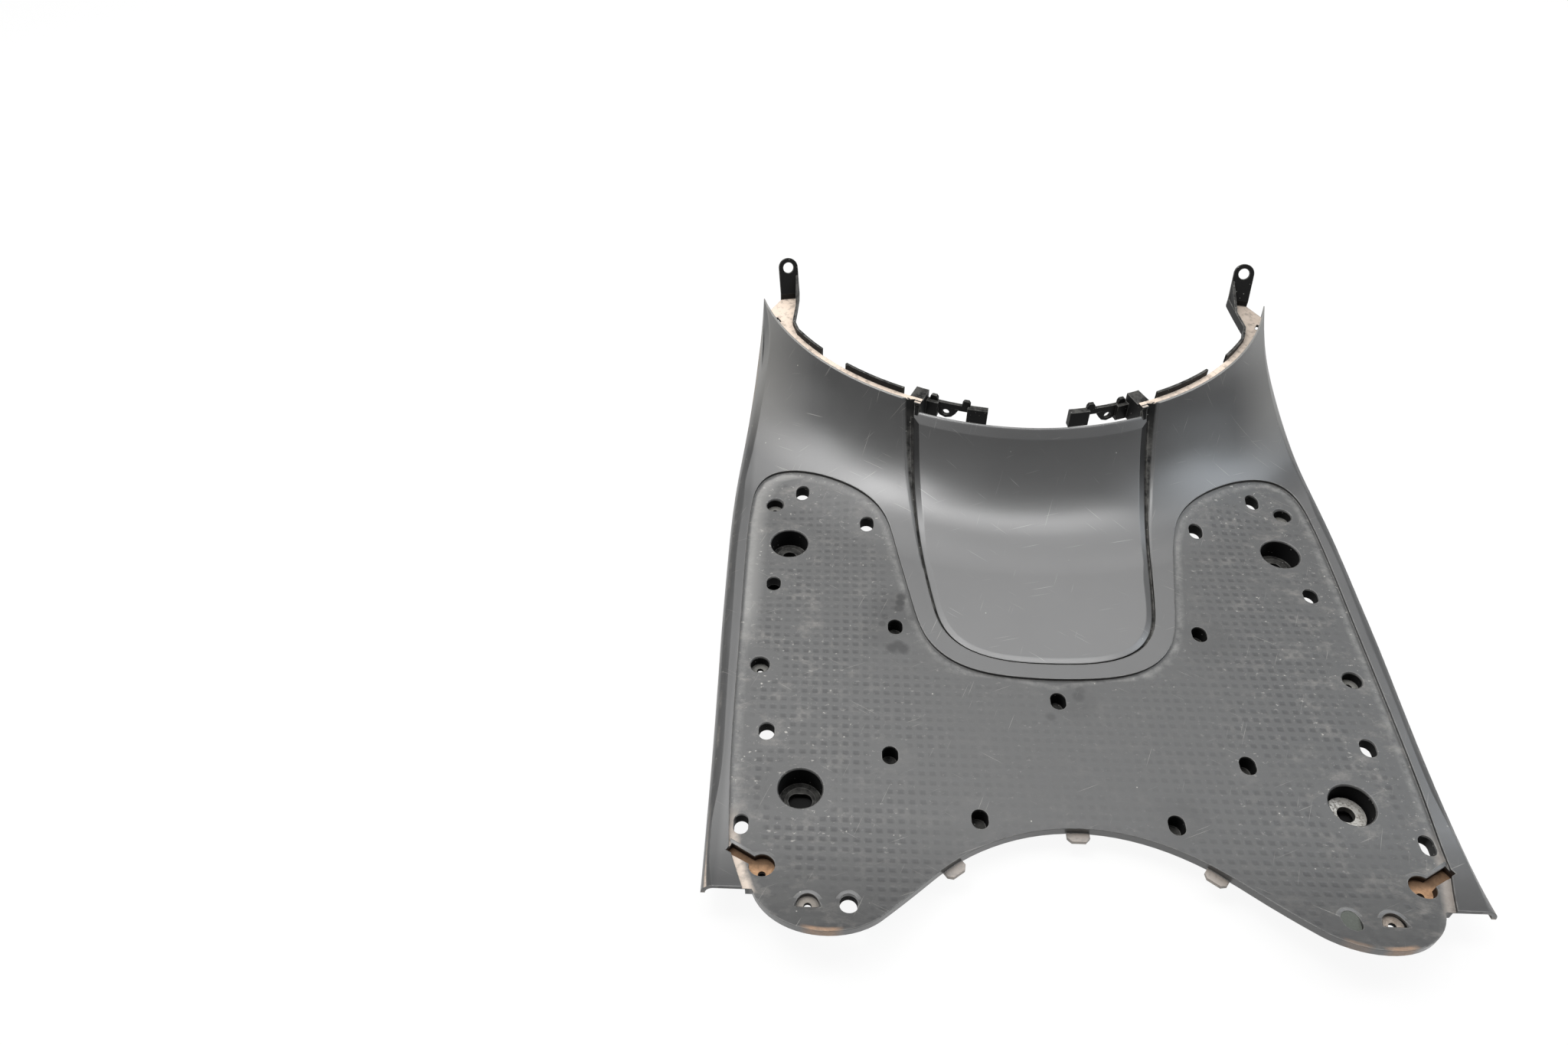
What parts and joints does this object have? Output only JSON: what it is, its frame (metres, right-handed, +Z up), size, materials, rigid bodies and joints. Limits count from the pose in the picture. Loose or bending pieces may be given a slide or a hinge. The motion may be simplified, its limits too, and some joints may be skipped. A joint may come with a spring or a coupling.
{
  "type": "scooter floorboard",
  "caption": "Moulded floorboard with a dished front, two forward wings with eared flanges, a recessed mat floor with peg holes, bolt pockets and a tongue-shaped cover.",
  "frame": {"origin": "centre of the footprint, on the plane of the undersides of the bolt pockets", "axes": "+X across the scooter towards its right side, +Y forward to the wings, +Z up"},
  "size_m": [0.4358, 0.5342, 0.1102],
  "materials": {
    "board_plastic": "satin moulded black, scuffed and dusty",
    "cover_plastic": "satin moulded black, lightly scratched",
    "collar_steel": "dull, dusty",
    "peg_rubber": "dull"
  },
  "bodies": {
    "root": {"floorboard": "board_plastic", "centre_cover": "cover_plastic", "bolt_collar": "collar_steel", "mat_peg_stub": "peg_rubber"}
  },
  "joints": []
}
